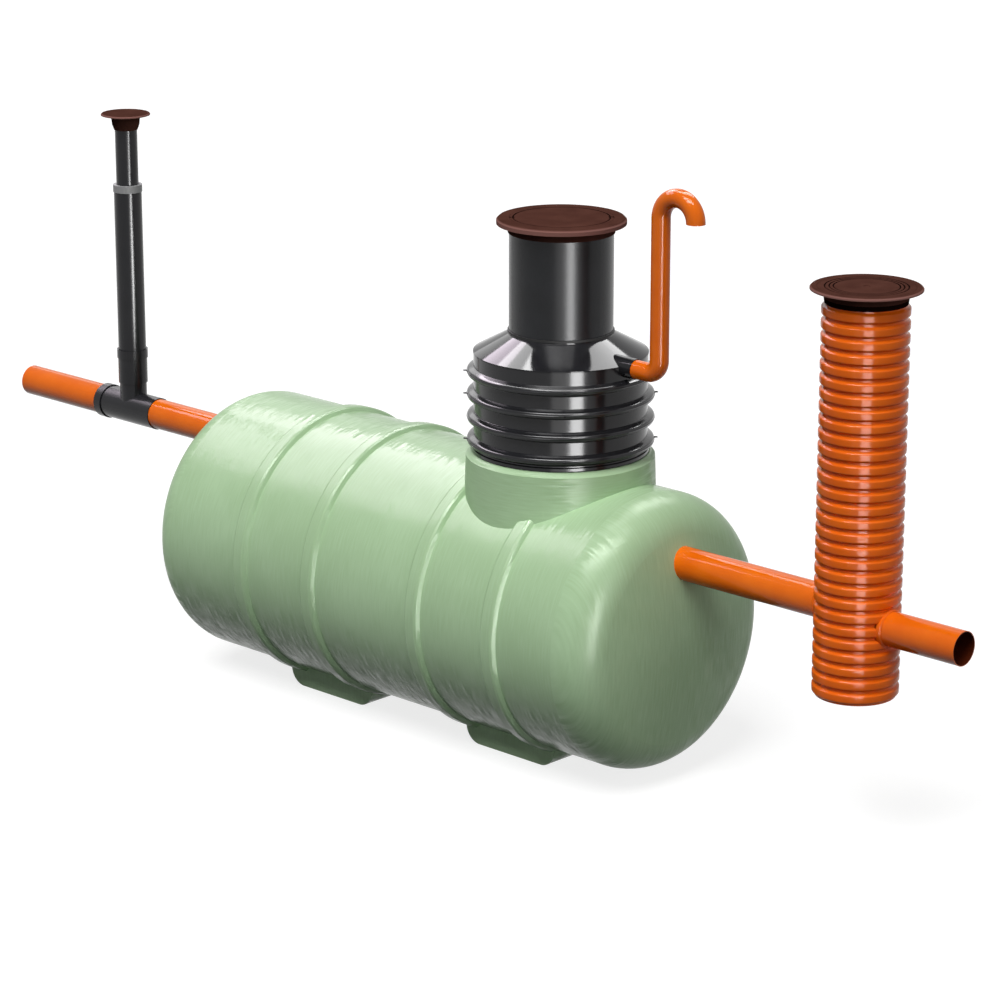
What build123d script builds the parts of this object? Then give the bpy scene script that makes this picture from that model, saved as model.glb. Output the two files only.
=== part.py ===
# Buried grease separator of glass-reinforced plastic with its access shaft, vent,
# inlet tee with riser, and sampling chamber on the outlet side.
# Millimetres. +Z is up, +X runs with the flow. The origin lies on the floor under
# the axis of the access shaft, on the sole of the outlet saddle foot.
from build123d import *
from math import atan2, cos, pi, radians, sin, tan
import os

# Tank shell
TANK_R = 671.0
TANK_WALL = 9.0
FLOOR_GAP = 54.0
BARREL_LENGTH = 2634.0
SHAFT_TO_BARREL_END = 559.0
INLET_DEPTH = 260.0
INLET_KNUCKLE = 149.0
OUTLET_DEPTH = 271.0
OUTLET_KNUCKLE = 212.0
MANHOLE_LEDGE = 21.0
RIB_WIDTH = 100.0
RIB_CREST = 54.0
RIB_HEIGHT = 22.0
RIB_BEVEL = 11.0
RIB_BEVEL_DROP = 6.0
RIB_1_FROM_START = 530.0
RIB_2_FROM_START = 1016.0
RIB_3_FROM_END = 894.0
RIB_4_FROM_END = 396.0

# Saddle feet
INLET_FOOT_FROM_START = 745.0
OUTLET_FOOT_FROM_END = 644.0
FOOT_FLAT = 406.0
FOOT_CORNER = 88.0
FOOT_WIDTH = 520.0

# Laminated neck on the tank
NECK_LEDGE = 35.0
NECK_DRAFT = 2.0
NECK_WALL = 9.0
NECK_RISE = 86.0
NECK_LIP_RISE = 21.0
LIP_BORE_CLEARANCE = 0.5

# Ribbed access shaft
SHAFT_R = 416.0
SHAFT_RIB_DEPTH = 33.0
SHAFT_WALL = 8.0
SHAFT_DEPTH_IN_NECK = 80.0
SHAFT_COLLAR = 8.0
SHAFT_COLLAR_HEIGHT = 20.0
SHAFT_RIB_COUNT = 4
SHAFT_RIB_PITCH = 111.0
SHAFT_RIB_CREST = 36.0
SHAFT_RIB_FLANK = 13.0
SHAFT_RIB_ROUND = 9.0
SHAFT_FIRST_RIB = 54.0
SHAFT_BAND = 89.0
LUG_REACH = 20.0
LUG_WIDTH = 30.0
LUG_NOTCH = 9.0
LUG_THICK = 9.0
LUG_RIBS = (0, 2, 3)
LUG_ANGLES = (45, 135, 225, 315)

# Cone and telescope
TELE_R = 247.0
TELE_WALL = 7.0
CONE_RISE = 94.0
CONE_RIM = 6.0
CONE_LIP = 7.0
CONE_LIP_WALL = 5.0
TELE_CLEARANCE = 0.5
TELE_INSERT = 270.0
TELE_REACH = 517.0
TELE_SEAL_WALL = 6.0
TELE_SEAL_HEIGHT = 10.0

# Shaft cover
COVER_FLANGE = 59.5
COVER_RIM = 18.0
COVER_BEVEL = 10.0
COVER_SKIRT_WALL = 5.0
COVER_SKIRT = 40.0
LID_INSET = 2.0
LID_THICK = 20.0
LID_LEDGE = 18.0
LID_GAP = 1.5
LID_GROOVE_INSET = 19.0
LID_NOTCH_ANGLES = (45, 225)
LID_NOTCH_LENGTH = 26.0
LID_NOTCH_WIDTH = 34.0
GROOVE_WIDTH = 4.0
GROOVE_DEPTH = 3.0

# Vent pipework
VENT_R = 45.0
VENT_WALL = 3.0
VENT_OFFSET = 200.0
VENT_DROP = 4.0
VENT_BEND = 65.0
SPIGOT_LENGTH = 60.0
VENT_SOCKET = 15.0
VENT_ABOVE_TELE = 115.0
GOOSE_BEND = 104.0
SPIGOT_WALL = 4.0

# Sewer pipes
PIPE_R = 80.0
PIPE_WALL = 4.7
INLET_ABOVE_AXIS = 408.0
OUTLET_DROP = 32.0
STUB_DROP = 42.0
INLET_STUB_LENGTH = 618.0
OUTLET_STUB_REACH = 590.0
PIPE_IN_TANK = 60.0
DISH_SHARE_AT_PIPE = 0.55

# Inlet tee and riser
TEE_TO_TANK = 568.0
TEE_LENGTH = 434.0
TEE_WALL = 5.0
TEE_BEAD = 6.0
TEE_BEAD_LENGTH = 50.0
SOCKET_CLEARANCE = 0.3
SOCKET_DEPTH = 80.0
BRANCH_OFFSET = 229.0
BRANCH_R = 71.5
BRANCH_RISE = 143.0
RISER_SOCKET_WALL = 4.0
RISER_SOCKET_LENGTH = 182.0
RISER_COLLAR = 4.5
RISER_COLLAR_HEIGHT = 47.0
RISER_R = 73.5
RISER_WALL = 3.6
RISER_REACH = 852.0
RISER_SEAL_STEP = 3.0
RISER_SEAL_HEIGHT = 38.0
RISER_TELE_R = 58.6
RISER_TELE_WALL = 3.2
RISER_TELE_INSERT = 150.0
RISER_TELE_REACH = 390.0
RISER_FRAME_STEPS = ((3.0, -60.0), (13.0, -32.0), (15.0, -10.0), (21.0, 17.0))
RISER_COVER_R = 129.0
RISER_COVER_THICK = 9.0

# Sampling chamber
CHAMBER_TO_TANK = 975.0
CHAMBER_R = 197.0
CHAMBER_RIB_DEPTH = 13.0
CHAMBER_WALL = 5.0
CHAMBER_SUMP = 346.0
CHAMBER_RIB_COUNT = 29
CHAMBER_RIB_PITCH = 62.0
CHAMBER_RIB_CREST = 32.0
CHAMBER_RIB_FLANK = 9.0
CHAMBER_BASE_THICK = 10.0
SADDLE_WALL = 8.0
SADDLE_REACH = 36.0
SADDLE_BLEND = 32.0
CHAMBER_FRAME_RISE = 60.0
CHAMBER_FRAME_FLARE = 8.0
CHAMBER_FLANGE = 52.0
CHAMBER_RING = 12.0
CHAMBER_LID_INSET = 33.0
CHAMBER_LID_THICK = 10.0
CHAMBER_LID_LEDGE = 40.0
CHAMBER_LID_RING_INSETS = (34.0, 54.0, 72.0)
CHAMBER_LID_DIMPLE = 15.0

# Places that follow from the sizes above
AXIS_Z = FLOOR_GAP + TANK_R
BARREL_END = SHAFT_TO_BARREL_END
BARREL_START = BARREL_END - BARREL_LENGTH
RIB_CENTRES = (
    BARREL_START + RIB_1_FROM_START,
    BARREL_START + RIB_2_FROM_START,
    BARREL_END - RIB_3_FROM_END,
    BARREL_END - RIB_4_FROM_END,
)
FOOT_CENTRES = (BARREL_START + INLET_FOOT_FROM_START, BARREL_END - OUTLET_FOOT_FROM_END)
SHAFT_RIB_R = SHAFT_R + SHAFT_RIB_DEPTH
NECK_R = SHAFT_R + NECK_LEDGE
MANHOLE_R = NECK_R - MANHOLE_LEDGE
NECK_SHOULDER = AXIS_Z + TANK_R + NECK_RISE
NECK_TOP = NECK_SHOULDER + NECK_LIP_RISE
SHAFT_TOP = NECK_TOP + SHAFT_FIRST_RIB + (SHAFT_RIB_COUNT - 1) * SHAFT_RIB_PITCH + SHAFT_BAND
CONE_TOP = SHAFT_TOP + CONE_RISE + CONE_LIP
TELE_TOP = CONE_TOP + TELE_REACH
TELE_SEAL_R = TELE_R + TELE_SEAL_WALL
COVER_R = TELE_R + COVER_FLANGE
LID_R = TELE_R - LID_INSET
VENT_X = SHAFT_R + VENT_OFFSET
VENT_JOINT_X = SHAFT_R + SPIGOT_LENGTH
VENT_LEG_Z = SHAFT_TOP - VENT_DROP
VENT_TOP_Z = TELE_TOP + VENT_ABOVE_TELE
INLET_Z = AXIS_Z + INLET_ABOVE_AXIS
OUTLET_Z = INLET_Z - OUTLET_DROP
STUB_Z = OUTLET_Z - STUB_DROP
TEE_R = PIPE_R + TEE_WALL
TEE_BEAD_R = TEE_R + TEE_BEAD
TEE_END = BARREL_START - INLET_DEPTH - TEE_TO_TANK
TEE_START = TEE_END - TEE_LENGTH
STUB_START = TEE_START - INLET_STUB_LENGTH
RISER_X = TEE_START + BRANCH_OFFSET
RISER_SOCKET_R = RISER_R + RISER_SOCKET_WALL
RISER_COLLAR_R = RISER_SOCKET_R + RISER_COLLAR
RISER_SEAL_R = RISER_R + RISER_SEAL_STEP
BRANCH_TOP = INLET_Z + BRANCH_RISE
RISER_SOCKET_TOP = BRANCH_TOP + RISER_SOCKET_LENGTH
RISER_TOP = RISER_SOCKET_TOP + RISER_REACH
RISER_TELE_TOP = RISER_TOP + RISER_TELE_REACH
RISER_COVER_Z = RISER_TELE_TOP + RISER_FRAME_STEPS[-1][1]
CHAMBER_GROOVE_R = CHAMBER_R - CHAMBER_RIB_DEPTH
CHAMBER_BORE_R = CHAMBER_GROOVE_R - CHAMBER_WALL
CHAMBER_COVER_R = CHAMBER_R + CHAMBER_FLANGE
CHAMBER_LID_R = CHAMBER_COVER_R - CHAMBER_LID_INSET
CHAMBER_X = BARREL_END + OUTLET_DEPTH + CHAMBER_TO_TANK
STUB_END = CHAMBER_X + OUTLET_STUB_REACH
CHAMBER_BOTTOM = STUB_Z - CHAMBER_SUMP
CHAMBER_TOP = CHAMBER_BOTTOM + CHAMBER_RIB_COUNT * CHAMBER_RIB_PITCH
CHAMBER_RING_Z = CHAMBER_TOP + CHAMBER_FRAME_RISE
LONG = 5000.0


def rod_z(radius, low, high, x=0.0):
    """Upright round bar between two heights."""
    return Pos(x, 0, (low + high) / 2) * Cylinder(radius, high - low)


def tube_z(outer, wall, low, high, x=0.0):
    return rod_z(outer, low, high, x) - rod_z(outer - wall, low, high, x)


def rod_x(radius, start, end, z):
    """Level round bar along the flow."""
    return Pos((start + end) / 2, 0, z) * Rot(0, 90, 0) * Cylinder(radius, end - start)


def tube_x(outer, wall, start, end, z):
    return rod_x(outer, start, end, z) - rod_x(outer - wall, start, end, z)


def turned(points, x=0.0):
    """Solid of revolution about an upright axis from (radius, height) points."""
    face = make_face(Plane.XZ * Polyline(*points, close=True))
    return Pos(x, 0, 0) * revolve(face, Axis.Z)


def dish(radius, knuckle, depth, inset):
    """Torispherical body that bulges along +X, its surface moved inwards by the inset."""
    arm = radius - knuckle
    crown = (depth**2 + arm**2 - knuckle**2) / (2 * (depth - knuckle))
    middle = depth - crown
    join = atan2(arm, -middle)
    small = knuckle - inset
    large = crown - inset

    def on_knuckle(angle):
        return (small * cos(angle), arm + small * sin(angle))

    def on_crown(angle):
        return (middle + large * cos(angle), large * sin(angle))

    edge = (0.0, radius - inset)
    joint = on_knuckle(join)
    tip = (middle + large, 0.0)
    outline = Line((0, 0), edge)
    outline += ThreePointArc(edge, on_knuckle((pi / 2 + join) / 2), joint)
    outline += ThreePointArc(joint, on_crown(join / 2), tip)
    outline += Line(tip, (0, 0))
    return revolve(make_face(outline), Axis.X)


def tank_core():
    """Solid round body that the shell would fill, for copes and cuts."""
    return rod_x(TANK_R, BARREL_START, BARREL_END, AXIS_Z)


def rib_ring(centre):
    """Laminated band with sloping sides and bevelled edges that runs round the barrel."""
    crest = TANK_R + RIB_HEIGHT
    flat = RIB_CREST / 2
    side = flat + RIB_BEVEL
    corners = [
        (centre - RIB_WIDTH / 2, TANK_R),
        (centre - side, crest - RIB_BEVEL_DROP),
        (centre - flat, crest),
        (centre + flat, crest),
        (centre + side, crest - RIB_BEVEL_DROP),
        (centre + RIB_WIDTH / 2, TANK_R),
    ]
    section = make_face(Polyline(*corners, close=True))
    return Pos(0, 0, AXIS_Z) * revolve(section, Axis.X)


def tank_barrel():
    shell = tube_x(TANK_R, TANK_WALL, BARREL_START, BARREL_END, AXIS_Z)
    return shell - rod_z(MANHOLE_R, AXIS_Z, AXIS_Z + 2 * TANK_R)


def tank_head(depth, knuckle, place, pipe_z):
    shell = dish(TANK_R, knuckle, depth, 0.0)
    shell -= dish(TANK_R, knuckle, depth, TANK_WALL)
    return place * shell - rod_x(PIPE_R, -LONG, LONG, pipe_z)


def tank_rib(centre):
    return rib_ring(centre) - neck_body()


def saddle_foot(centre):
    """Moulded saddle with rounded lower edges, coped to the barrel and its ribs."""
    width = FOOT_FLAT + 2 * FOOT_CORNER
    block = Pos(centre, 0, AXIS_Z / 2) * Box(width, FOOT_WIDTH, AXIS_Z)
    lower = block.edges().filter_by(Axis.Y).group_by(Axis.Z)[0]
    foot = fillet(lower, FOOT_CORNER) - tank_core()
    for rib in RIB_CENTRES:
        foot -= rib_ring(rib)
    return foot.solids().sort_by(Axis.Z)[0]


def neck_foot():
    """Radius that the neck's sloping wall would have at the height of the tank's axis."""
    return NECK_R + (NECK_SHOULDER - AXIS_Z) * tan(radians(NECK_DRAFT))


def neck_body():
    corners = [(0, AXIS_Z), (neck_foot(), AXIS_Z), (NECK_R, NECK_SHOULDER), (0, NECK_SHOULDER)]
    return turned(corners)


def tank_neck():
    """Neck that widens towards the barrel, with a sloping shoulder and a lip for the shaft."""
    inner = NECK_R - NECK_WALL
    bore = SHAFT_R + LIP_BORE_CLEARANCE
    outline = [
        (neck_foot() - NECK_WALL, AXIS_Z),
        (neck_foot(), AXIS_Z),
        (NECK_R, NECK_SHOULDER),
        (bore + NECK_WALL, NECK_TOP),
        (bore, NECK_TOP),
        (bore, NECK_TOP - NECK_WALL),
        (inner, NECK_SHOULDER - NECK_WALL),
    ]
    return turned(outline) - tank_core()


def shaft_rib_heights():
    first = NECK_TOP + SHAFT_FIRST_RIB
    return [first + i * SHAFT_RIB_PITCH for i in range(SHAFT_RIB_COUNT)]


def ribbed_outline(core, crest_r, heights, crest, flank):
    """Points up the side of a ribbed wall."""
    points = []
    for height in heights:
        points.append((core, height - crest / 2 - flank))
        points.append((crest_r, height - crest / 2))
        points.append((crest_r, height + crest / 2))
        points.append((core, height + crest / 2 + flank))
    return points


def shaft_lug(angle, height):
    """Small forked ear on the moulding's parting line."""
    root = SHAFT_RIB_R - SHAFT_WALL / 2
    tip = SHAFT_RIB_R + LUG_REACH
    half = LUG_WIDTH / 2
    corners = [(root, -half), (tip, -half / 2), (tip - LUG_NOTCH, 0), (tip, half / 2), (root, half)]
    ear = extrude(make_face(Polyline(*corners, close=True)), LUG_THICK)
    return Rot(0, 0, angle) * Pos(0, 0, height - LUG_THICK / 2) * ear


def access_shaft():
    """Moulded shaft whose wall follows its four round ribs."""
    low = NECK_TOP - SHAFT_DEPTH_IN_NECK
    collar = SHAFT_R + SHAFT_COLLAR
    heights = shaft_rib_heights()
    outer = [(0, low), (SHAFT_R, low), (SHAFT_R, NECK_TOP), (collar, NECK_TOP)]
    outer += [(collar, NECK_TOP + SHAFT_COLLAR_HEIGHT), (SHAFT_R, NECK_TOP + SHAFT_COLLAR_HEIGHT)]
    outer += ribbed_outline(SHAFT_R, SHAFT_RIB_R, heights, SHAFT_RIB_CREST, SHAFT_RIB_FLANK)
    outer += [(SHAFT_R, SHAFT_TOP), (0, SHAFT_TOP)]
    body = turned(outer)
    crests = body.edges().filter_by(GeomType.CIRCLE).group_by(SortBy.RADIUS)[-1]
    body = fillet(crests, SHAFT_RIB_ROUND)
    bore = SHAFT_R - SHAFT_WALL
    pocket = SHAFT_RIB_CREST - SHAFT_WALL
    inner = [(0, low), (bore, low)]
    inner += ribbed_outline(bore, SHAFT_RIB_R - SHAFT_WALL, heights, pocket, SHAFT_RIB_FLANK)
    inner += [(bore, SHAFT_TOP), (0, SHAFT_TOP)]
    for index in LUG_RIBS:
        for angle in LUG_ANGLES:
            body += shaft_lug(angle, heights[index])
    return body - turned(inner) - vent_bore()


def vent_bore():
    return rod_x(VENT_R - VENT_WALL, 0, VENT_X, VENT_LEG_Z)


def cone_outline(base, top, shift):
    return [
        (0, SHAFT_TOP),
        (base, SHAFT_TOP),
        (base, SHAFT_TOP + CONE_RIM - shift),
        (top, SHAFT_TOP + CONE_RISE - shift),
        (top, CONE_TOP),
        (0, CONE_TOP),
    ]


def shaft_cone():
    """Sloping shoulder between the shaft and the telescope."""
    bore = TELE_R + TELE_CLEARANCE
    outer = turned(cone_outline(SHAFT_R, bore + CONE_LIP_WALL, 0))
    inner = turned(cone_outline(SHAFT_R - SHAFT_WALL, bore, SHAFT_WALL))
    return outer - inner - vent_bore()


def vent_spigot():
    """Short level spigot moulded on the shoulder for the vent pipe."""
    radius = VENT_R + SPIGOT_WALL
    root = SHAFT_R / 2
    spigot = rod_x(radius, root, VENT_JOINT_X, VENT_LEG_Z)
    spigot -= turned(cone_outline(SHAFT_R, TELE_R + TELE_CLEARANCE + CONE_LIP_WALL, 0))
    spigot -= rod_z(SHAFT_R, NECK_TOP, SHAFT_TOP)
    spigot -= vent_bore()
    return spigot.solids().sort_by(Axis.X)[-1]


def telescope_tube():
    return tube_z(TELE_R, TELE_WALL, CONE_TOP - TELE_INSERT, TELE_TOP)


def telescope_seal():
    return tube_z(TELE_SEAL_R, TELE_SEAL_R - TELE_R, CONE_TOP, CONE_TOP + TELE_SEAL_HEIGHT)


def shaft_cover_frame():
    """Frame ring with a bevelled rim and a skirt over the telescope."""
    top = TELE_TOP + COVER_RIM + COVER_BEVEL
    skirt = TELE_R + TELE_CLEARANCE + COVER_SKIRT_WALL
    seat = top - LID_THICK
    inner = LID_R - LID_LEDGE
    outline = [
        (inner, TELE_TOP),
        (TELE_R + TELE_CLEARANCE, TELE_TOP),
        (TELE_R + TELE_CLEARANCE, TELE_TOP - COVER_SKIRT),
        (skirt, TELE_TOP - COVER_SKIRT),
        (skirt, TELE_TOP),
        (COVER_R, TELE_TOP),
        (COVER_R, TELE_TOP + COVER_RIM),
        (COVER_R - COVER_BEVEL, top),
        (LID_R + LID_GAP, top),
        (LID_R + LID_GAP, seat),
        (inner, seat),
    ]
    return turned(outline)


def ring_groove(radius, top, x=0.0):
    """Shallow groove cut into a lid's top."""
    return tube_z(radius + GROOVE_WIDTH / 2, GROOVE_WIDTH, top - GROOVE_DEPTH, top, x)


def shaft_cover():
    """Round lid with a groove near its edge and a lifting notch on each side."""
    top = TELE_TOP + COVER_RIM + COVER_BEVEL
    lid = rod_z(LID_R, top - LID_THICK, top) - ring_groove(LID_R - LID_GROOVE_INSET, top)
    notch = Box(2 * LID_NOTCH_LENGTH, LID_NOTCH_WIDTH, LID_THICK)
    for angle in LID_NOTCH_ANGLES:
        lid -= Rot(0, 0, angle) * Pos(LID_R, 0, top) * notch
    return lid


def vent_ring(place):
    """Ring section of the vent pipe at a place on its route."""
    return place * (Circle(VENT_R) - Circle(VENT_R - VENT_WALL))


def vent_elbow():
    """Level leg, tight quarter bend and a short rise."""
    turn_x = VENT_X - VENT_BEND
    leg = tube_x(VENT_R, VENT_WALL, VENT_JOINT_X, turn_x, VENT_LEG_Z)
    pivot = Axis((turn_x, 0, VENT_LEG_Z + VENT_BEND), (0, -1, 0))
    bend = revolve(vent_ring(Pos(turn_x, 0, VENT_LEG_Z) * Rot(0, 90, 0)), pivot, 90)
    low = VENT_LEG_Z + VENT_BEND
    return leg + bend + tube_z(VENT_R, VENT_WALL, low, low + VENT_SOCKET, VENT_X)


def vent_pipe():
    low = VENT_LEG_Z + VENT_BEND + VENT_SOCKET
    return tube_z(VENT_R, VENT_WALL, low, VENT_TOP_Z, VENT_X)


def vent_gooseneck():
    """Half-turn bend whose mouth looks down."""
    pivot = Axis((VENT_X + GOOSE_BEND, 0, VENT_TOP_Z), (0, 1, 0))
    return revolve(vent_ring(Pos(VENT_X, 0, VENT_TOP_Z)), pivot, 180)


def inlet_stub_pipe():
    return tube_x(PIPE_R, PIPE_WALL, STUB_START, TEE_START + SOCKET_DEPTH, INLET_Z)


def inlet_tee():
    """Tee with a beaded socket at each end of its run and an upright branch."""
    bore = PIPE_R - PIPE_WALL
    socket = PIPE_R + SOCKET_CLEARANCE
    body = rod_x(TEE_R, TEE_START, TEE_END, INLET_Z)
    body += rod_x(TEE_BEAD_R, TEE_START, TEE_START + TEE_BEAD_LENGTH, INLET_Z)
    body += rod_z(BRANCH_R, INLET_Z, BRANCH_TOP, RISER_X)
    body -= rod_x(bore, TEE_START, TEE_END, INLET_Z)
    body -= rod_x(socket, TEE_START, TEE_START + SOCKET_DEPTH, INLET_Z)
    body -= rod_x(socket, TEE_END - SOCKET_DEPTH, TEE_END, INLET_Z)
    return body - rod_z(BRANCH_R - PIPE_WALL, INLET_Z, BRANCH_TOP, RISER_X)


def riser_socket():
    """Push-fit socket with a collar at its mouth."""
    outline = [
        (BRANCH_R - PIPE_WALL, BRANCH_TOP),
        (RISER_SOCKET_R, BRANCH_TOP),
        (RISER_SOCKET_R, RISER_SOCKET_TOP - RISER_COLLAR_HEIGHT),
        (RISER_COLLAR_R, RISER_SOCKET_TOP - RISER_COLLAR_HEIGHT),
        (RISER_COLLAR_R, RISER_SOCKET_TOP),
        (RISER_R + SOCKET_CLEARANCE, RISER_SOCKET_TOP),
        (RISER_R + SOCKET_CLEARANCE, BRANCH_TOP + PIPE_WALL),
        (BRANCH_R - PIPE_WALL, BRANCH_TOP + PIPE_WALL),
    ]
    return turned(outline, RISER_X)


def riser_tube():
    return tube_z(RISER_R, RISER_WALL, BRANCH_TOP + PIPE_WALL, RISER_TOP, RISER_X)


def riser_seal_ring():
    wall = RISER_SEAL_R - RISER_TELE_R
    return tube_z(RISER_SEAL_R, wall, RISER_TOP, RISER_TOP + RISER_SEAL_HEIGHT, RISER_X)


def riser_telescope():
    low = RISER_TOP - RISER_TELE_INSERT
    return tube_z(RISER_TELE_R, RISER_TELE_WALL, low, RISER_TELE_TOP, RISER_X)


def riser_cover_frame():
    """Tapered collar that carries the small round cover."""
    bore = RISER_TELE_R + SOCKET_CLEARANCE
    inner = RISER_TELE_R - RISER_TELE_WALL
    outline = [(bore, RISER_TELE_TOP + RISER_FRAME_STEPS[0][1])]
    for wall, height in RISER_FRAME_STEPS:
        outline.append((bore + wall, RISER_TELE_TOP + height))
    outline += [(inner, RISER_COVER_Z), (inner, RISER_TELE_TOP), (bore, RISER_TELE_TOP)]
    return turned(outline, RISER_X)


def riser_cover():
    disc = rod_z(RISER_COVER_R, RISER_COVER_Z, RISER_COVER_Z + RISER_COVER_THICK, RISER_X)
    return chamfer(disc.edges().group_by(Axis.Z)[-1], RISER_COVER_THICK / 2)


def inlet_pipe():
    end = BARREL_START - INLET_DEPTH * DISH_SHARE_AT_PIPE + PIPE_IN_TANK
    return tube_x(PIPE_R, PIPE_WALL, TEE_END - SOCKET_DEPTH, end, INLET_Z)


def outlet_pipe():
    start = BARREL_END + OUTLET_DEPTH * DISH_SHARE_AT_PIPE - PIPE_IN_TANK
    pipe = tube_x(PIPE_R, PIPE_WALL, start, CHAMBER_X, OUTLET_Z)
    return pipe - chamber_bore()


def chamber_rib_heights():
    first = CHAMBER_BOTTOM + CHAMBER_RIB_PITCH / 2
    return [first + i * CHAMBER_RIB_PITCH for i in range(CHAMBER_RIB_COUNT)]


def chamber_outside():
    outer = [(0, CHAMBER_BOTTOM), (CHAMBER_GROOVE_R, CHAMBER_BOTTOM)]
    heights = chamber_rib_heights()
    outer += ribbed_outline(CHAMBER_GROOVE_R, CHAMBER_R, heights, CHAMBER_RIB_CREST, CHAMBER_RIB_FLANK)
    outer += [(CHAMBER_GROOVE_R, CHAMBER_TOP), (0, CHAMBER_TOP)]
    return turned(outer, CHAMBER_X)


def chamber_bore():
    return rod_z(CHAMBER_BORE_R, CHAMBER_BOTTOM, CHAMBER_TOP, CHAMBER_X)


def sampling_chamber():
    """Corrugated shaft with a smooth bore and a hole for each pipe saddle."""
    wall = chamber_outside() - chamber_bore()
    wall -= rod_x(PIPE_R + SADDLE_WALL, CHAMBER_X - LONG, CHAMBER_X, OUTLET_Z)
    return wall - rod_x(PIPE_R + SADDLE_WALL, CHAMBER_X, CHAMBER_X + LONG, STUB_Z)


def chamber_base():
    high = CHAMBER_BOTTOM + CHAMBER_BASE_THICK
    return rod_z(CHAMBER_BORE_R, CHAMBER_BOTTOM, high, CHAMBER_X)


def chamber_saddle(side, z):
    """Welded collar round a pipe that flares out onto the ribs where it meets the wall."""
    outer = PIPE_R + SADDLE_WALL
    ends = sorted((CHAMBER_X, CHAMBER_X + side * (CHAMBER_R + SADDLE_REACH)))
    wall = rod_z(CHAMBER_R, z - 2 * outer, z + 2 * outer, CHAMBER_X)
    body = wall + rod_x(outer, ends[0], ends[1], z)
    corner = body.edges().filter_by(lambda edge: edge.geom_type == GeomType.BSPLINE)
    flare = fillet(corner, SADDLE_BLEND) - wall
    seat = rod_x(outer + SADDLE_BLEND / 2, ends[0], ends[1], z) & wall
    collar = flare + (seat - chamber_outside()) + rod_x(outer, ends[0], ends[1], z)
    return collar - rod_x(PIPE_R, ends[0], ends[1], z) - chamber_bore()


def chamber_outlet_stub():
    pipe = tube_x(PIPE_R, PIPE_WALL, CHAMBER_X, STUB_END, STUB_Z)
    return pipe - chamber_bore()


def chamber_cover_frame():
    """Flared skirt under a flat ring that carries the round cover."""
    top = CHAMBER_RING_Z + CHAMBER_RING
    seat = top - CHAMBER_LID_THICK
    inner = CHAMBER_LID_R - CHAMBER_LID_LEDGE
    outline = [
        (inner, CHAMBER_TOP),
        (CHAMBER_GROOVE_R, CHAMBER_TOP),
        (CHAMBER_GROOVE_R + CHAMBER_FRAME_FLARE, CHAMBER_RING_Z),
        (CHAMBER_COVER_R, CHAMBER_RING_Z),
        (CHAMBER_COVER_R, CHAMBER_RING_Z + CHAMBER_RING / 2),
        (CHAMBER_COVER_R - CHAMBER_RING / 2, top),
        (CHAMBER_LID_R + LID_GAP, top),
        (CHAMBER_LID_R + LID_GAP, seat),
        (inner, seat),
    ]
    return turned(outline, CHAMBER_X)


def chamber_cover():
    """Round lid with three rings cut into it and a dimple in the middle."""
    top = CHAMBER_RING_Z + CHAMBER_RING
    lid = rod_z(CHAMBER_LID_R, top - CHAMBER_LID_THICK, top, CHAMBER_X)
    for inset in CHAMBER_LID_RING_INSETS:
        lid -= ring_groove(CHAMBER_LID_R - inset, top, CHAMBER_X)
    return lid - rod_z(CHAMBER_LID_DIMPLE, top - GROOVE_DEPTH, top, CHAMBER_X)


def build():
    inlet_place = Pos(BARREL_START, 0, AXIS_Z) * Rot(0, 0, 180)
    outlet_place = Pos(BARREL_END, 0, AXIS_Z)
    parts = {
        "tank_barrel": tank_barrel(),
        "tank_head_inlet": tank_head(INLET_DEPTH, INLET_KNUCKLE, inlet_place, INLET_Z),
        "tank_head_outlet": tank_head(OUTLET_DEPTH, OUTLET_KNUCKLE, outlet_place, OUTLET_Z),
        "saddle_foot_inlet": saddle_foot(FOOT_CENTRES[0]),
        "saddle_foot_outlet": saddle_foot(FOOT_CENTRES[1]),
        "tank_neck": tank_neck(),
        "access_shaft": access_shaft(),
        "shaft_cone": shaft_cone(),
        "telescope_tube": telescope_tube(),
        "telescope_seal": telescope_seal(),
        "shaft_cover_frame": shaft_cover_frame(),
        "shaft_cover": shaft_cover(),
        "vent_spigot": vent_spigot(),
        "vent_elbow": vent_elbow(),
        "vent_pipe": vent_pipe(),
        "vent_gooseneck": vent_gooseneck(),
        "inlet_stub_pipe": inlet_stub_pipe(),
        "inlet_tee": inlet_tee(),
        "riser_socket": riser_socket(),
        "riser_tube": riser_tube(),
        "riser_seal_ring": riser_seal_ring(),
        "riser_telescope": riser_telescope(),
        "riser_cover_frame": riser_cover_frame(),
        "riser_cover": riser_cover(),
        "inlet_pipe": inlet_pipe(),
        "outlet_pipe": outlet_pipe(),
        "sampling_chamber": sampling_chamber(),
        "chamber_base": chamber_base(),
        "chamber_inlet_saddle": chamber_saddle(-1, OUTLET_Z),
        "chamber_outlet_saddle": chamber_saddle(1, STUB_Z),
        "chamber_outlet_stub": chamber_outlet_stub(),
        "chamber_cover_frame": chamber_cover_frame(),
        "chamber_cover": chamber_cover(),
    }
    for number, centre in enumerate(RIB_CENTRES, start=1):
        parts[f"tank_rib_{number}"] = tank_rib(centre)
    return parts


os.makedirs("parts", exist_ok=True)
for name, shape in build().items():
    export_step(shape, f"parts/{name}.step")
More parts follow.
